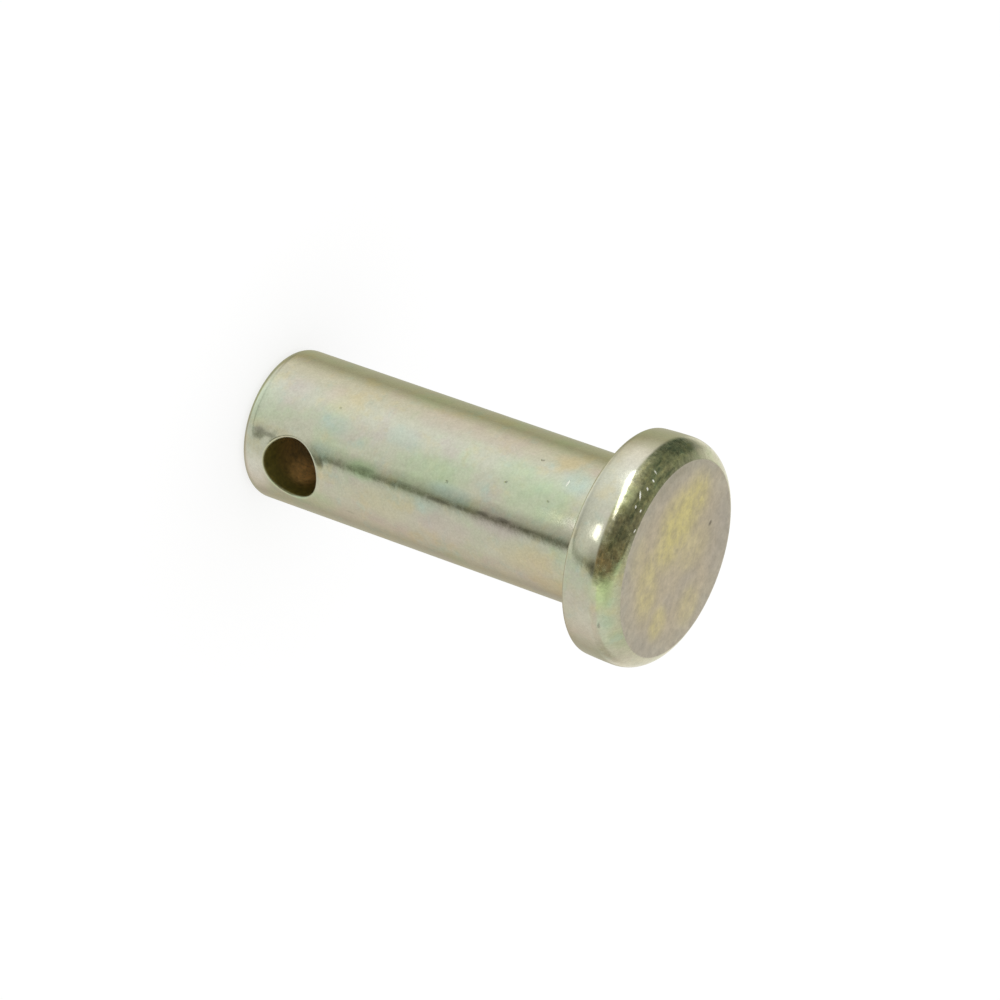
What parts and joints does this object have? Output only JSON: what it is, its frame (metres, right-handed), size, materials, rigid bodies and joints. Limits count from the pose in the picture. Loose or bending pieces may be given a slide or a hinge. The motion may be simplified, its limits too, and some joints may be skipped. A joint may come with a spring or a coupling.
{
  "type": "clevis pin",
  "caption": "Short round steel pin with a flat-faced round-shouldered head and a cross hole near its end, used as a hinge pin in a fork and kept in by a split pin.",
  "frame": {"origin": "centre of the flat end face, on the pin's axis, at the surface that the pin stands on", "axes": "+Z along the pin's axis from the end face to the head; the cross hole runs along Y"},
  "size_m": [0.012, 0.012, 0.0238],
  "materials": {
    "zinc_chromate": "bright zinc plate with a thin iridescent yellow-green chromate, satin, flat face slightly more matte and straw coloured"
  },
  "bodies": {
    "root": {"clevis_pin": "zinc_chromate"}
  },
  "joints": []
}
